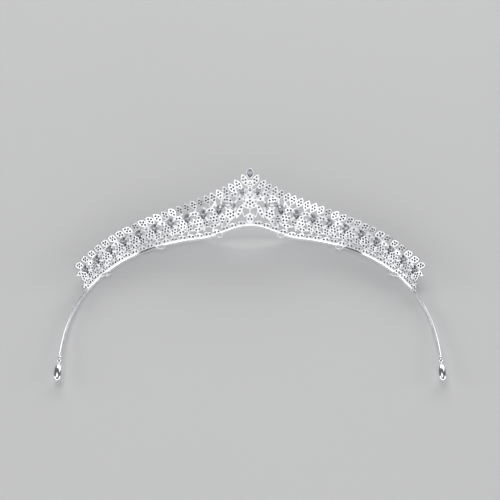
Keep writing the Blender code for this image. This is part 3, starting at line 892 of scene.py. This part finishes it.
def tube(route, radius, sides):
    """Tube along a route of points; each ring faces along the route."""
    points, faces = [], []
    across = Vector((0, 1, 0))
    for k, place in enumerate(route):
        ahead = (route[min(k + 1, len(route) - 1)] - route[max(k - 1, 0)]).normalized()
        side = ahead.cross(across).normalized()
        for e in range(sides):
            a = 2 * math.pi * e / sides
            width = radius if not callable(radius) else radius(k / (len(route) - 1))
            points.append(place + (side * math.cos(a) + across * math.sin(a)) * width)
    for k in range(len(route) - 1):
        for e in range(sides):
            f = (e + 1) % sides
            faces.append((k * sides + e, k * sides + f, (k + 1) * sides + f, (k + 1) * sides + e))
    last = (len(route) - 1) * sides
    faces += [tuple(range(sides - 1, -1, -1)), tuple(last + e for e in range(sides))]
    return points, faces


def loop_piece(side, place):
    """Staple of round wire with soldered feet."""
    piece = Piece(side)
    h = float(arch(place)) + LOOP_LIFT
    corner = LOOP_HALF * 0.75
    route = [Vector((place - LOOP_HALF, h, 0.1)), Vector((place - LOOP_HALF, h, -0.4))]
    for first in (180, 270):
        way = 1 if first == 180 else -1
        centre = Vector((place + (corner - LOOP_HALF) * way, h, corner - LOOP_REACH))
        for k in range(7):
            a = math.radians(first + 15 * k)
            route.append(centre + Vector((math.cos(a), 0, math.sin(a))) * corner)
    route += [Vector((place + LOOP_HALF, h, -0.4)), Vector((place + LOOP_HALF, h, 0.1))]
    points, faces = tube(route, WIRE_RADIUS, WIRE_SIDES)
    piece.add(points, faces, CAST, True)
    for end in (-1, 1):
        foot = [Vector((place + end * LOOP_HALF, h, 0.15 - 0.09 * k)) for k in range(7)]
        points, faces = tube(foot, lambda t: WIRE_RADIUS * (1.9 - 0.88 * math.sqrt(t)), WIRE_SIDES)
        piece.add(points, faces, CAST, True)
    return piece


def drop_piece(name, side, materials):
    """Turned drop on the band's end, behind a short link with a bead."""
    end = Vector(on_sheet([(side * (HALF_LENGTH - END_MARGIN), END_HEIGHT / 2, BAND_THICK / 2)])[0])
    radii, along = zip(*DROP_PROFILE)
    knots = np.arange(len(radii))
    fine = np.linspace(0, len(radii) - 1, (len(radii) - 1) * DROP_FINE + 1)
    radii = smooth_curve(knots, radii, fine)
    along = smooth_curve(knots, along, fine)
    points = [end]
    for radius, far in zip(radii[:-1], along[:-1]):
        for e in range(DROP_SIDES):
            a = 2 * math.pi * e / DROP_SIDES
            points.append(end + Vector((radius * math.cos(a), -far, radius * math.sin(a))) * MM)
    points.append(end + Vector((0, -along[-1], 0)) * MM)
    faces = []
    for e in range(DROP_SIDES):
        f = (e + 1) % DROP_SIDES
        faces.append((0, 1 + e, 1 + f))
        for k in range(len(fine) - 2):
            a = 1 + k * DROP_SIDES
            faces.append((a + e, a + DROP_SIDES + e, a + DROP_SIDES + f, a + f))
        last = 1 + (len(fine) - 2) * DROP_SIDES
        faces.append((last + e, len(points) - 1, last + f))
    mesh = bpy.data.meshes.new(name)
    mesh.from_pydata(points, [], faces)
    mesh.materials.append(materials[POLISH])
    mesh.shade_smooth()
    bm = bmesh.new()
    bm.from_mesh(mesh)
    bmesh.ops.recalc_face_normals(bm, faces=bm.faces)
    bm.to_mesh(mesh)
    bm.free()
    obj = bpy.data.objects.new(name, mesh)
    bpy.context.scene.collection.objects.link(obj)
    return obj


def smooth_curve(knots, values, fine):
    """Catmull-Rom curve through a list of values."""
    values = np.concatenate([[2 * values[0] - values[1]], values, [2 * values[-1] - values[-2]]])
    left = np.minimum(fine.astype(int), len(knots) - 2)
    t = fine - left
    a, b, c, d = (values[left + k] for k in range(4))
    curve = b + 0.5 * t * (c - a + t * (2 * a - 5 * b + 4 * c - d + t * (3 * (b - c) + d - a)))
    return np.maximum(curve, 0.0)


def pear_piece(side, centre, tilt, kind, metal=WALL_PAINTED_SHADE):
    """Pear stone in its collet."""
    piece = Piece(side)
    add_set_pear(piece, centre, tilt, kind, metal)
    return piece


# Stage

def add_softbox(name, place, size, radiance):
    """Soft panel aimed at the tiara, seen in reflections only."""
    light = bpy.data.lights.new(name, "AREA")
    light.shape = "RECTANGLE"
    light.size, light.size_y = size
    light.energy = radiance * math.pi * size[0] * size[1]
    obj = bpy.data.objects.new(name, light)
    obj.location = place
    obj.rotation_euler = (-Vector(place)).to_track_quat("-Z", "Y").to_euler()
    obj.visible_camera = False
    bpy.context.scene.collection.objects.link(obj)


def add_stage():
    """Pale floor, soft studio light and the camera."""
    bm = bmesh.new()
    bmesh.ops.create_grid(bm, x_segments=8, y_segments=8, size=FLOOR_SIZE)
    mesh = bpy.data.meshes.new("floor")
    bm.to_mesh(mesh)
    bm.free()
    floor = bpy.data.objects.new("floor", mesh)
    floor.data.materials.append(floor_material())
    bpy.context.scene.collection.objects.link(floor)

    for name, place, size, radiance in SOFTBOXES:
        add_softbox(name, place, size, radiance)

    world = bpy.data.worlds.new("studio")
    world.use_nodes = True
    world.node_tree.nodes["Background"].inputs["Color"].default_value = (0.95, 0.97, 1.0, 1.0)
    world.node_tree.nodes["Background"].inputs["Strength"].default_value = WORLD_STRENGTH
    bpy.context.scene.world = world
    bpy.context.scene.view_settings.view_transform = "Standard"

    camera = bpy.data.cameras.new("camera")
    camera.lens = LENS
    camera.sensor_width = SENSOR
    obj = bpy.data.objects.new("camera", camera)
    target = Vector(CAMERA_TARGET)
    obj.location = target + Vector((0, -math.cos(CAMERA_RISE), math.sin(CAMERA_RISE))) * CAMERA_REACH
    obj.rotation_euler = (math.pi / 2 - CAMERA_RISE, 0, 0)
    bpy.context.scene.collection.objects.link(obj)
    bpy.context.scene.camera = obj


def build():
    """Make every visual piece and the stage."""
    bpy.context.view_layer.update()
    materials = {CAST: cast_metal(), POLISH: polished_metal(),
                 # The seat and wall metals are dark colours that are painted shade for the holes and walls.
                 SEAT_PAINTED_SHADE: painted_shade_metal("seat_painted_shade", (0.008, 0.008, 0.01), (0.04, 0.04, 0.045), 0.45, 0.65),
                 WALL_PAINTED_SHADE: painted_shade_metal("wall_painted_shade", (0.28, 0.28, 0.3), (0.5, 0.5, 0.52), 0.25, 0.4),
                 STONE: clear_stone("zirconia", (0.93, 0.95, 0.99), (1.0, 1.0, 1.0)),
                 # The stone backs are darker copies of the zirconia: painted shade on the pavilions.
                 STONE_BACK_PAINTED_SHADE: clear_stone("zirconia_back_painted_shade", (0.07, 0.07, 0.08), (0.13, 0.13, 0.15)),
                 GREY_STONE: clear_stone("zirconia_fancy", (0.86, 0.88, 0.94), (0.96, 0.97, 1.0)),
                 GREY_BACK_PAINTED_SHADE: clear_stone("zirconia_fancy_back_painted_shade", (0.27, 0.26, 0.32), (0.42, 0.41, 0.48))}
    draw = random.Random(SEED)

    band_piece().finish("fine_band", ["head_band"], "polished_metal", materials)
    centre_piece(draw).finish("fine_centre", ["centre_motif"], "set_metal", materials)
    marquise_piece().finish("fine_marquise", ["centre_marquise"], "stone", materials)
    for side, word in ((1, "right"), (-1, "left")):
        drop = drop_piece("fine_drop_" + word, side, materials)
        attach(drop, "root")
        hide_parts("end_drop_" + word)
        for k, place in enumerate(LOOP_PLACES):
            node = f"pin_loop_{word}_{k + 1}"
            loop_piece(side, place).finish("fine_" + node, [node], "polished_metal", materials)
        base_row = base_row_piece(side, draw)
        base_row.finish("fine_base_row_" + word, ["base_row_" + word], "set_metal", materials)
        shoulder = shoulder_piece(side, draw)
        shoulder.finish("fine_shoulder_" + word, ["shoulder_" + word], "set_metal", materials)
        centre_pear = pear_piece(side, CENTRE_PEAR, CENTRE_PEAR_TILT, GREY_STONE, CAST)
        centre_pear.finish("fine_centre_pear_" + word, ["centre_pear_" + word], "stone", materials)
        for m in range(MODULES):
            node = f"crown_{word}_{m + 1:02d}"
            crown_module(m, side, draw).finish("fine_" + node, [node], "set_metal", materials)
            node = f"pear_stone_{word}_{m + 1:02d}"
            pear = pear_piece(side, pear_place(m - 1), PEAR_TILT, GREY_STONE)
            pear.finish("fine_" + node, [node], "stone", materials)

    add_stage()


build()
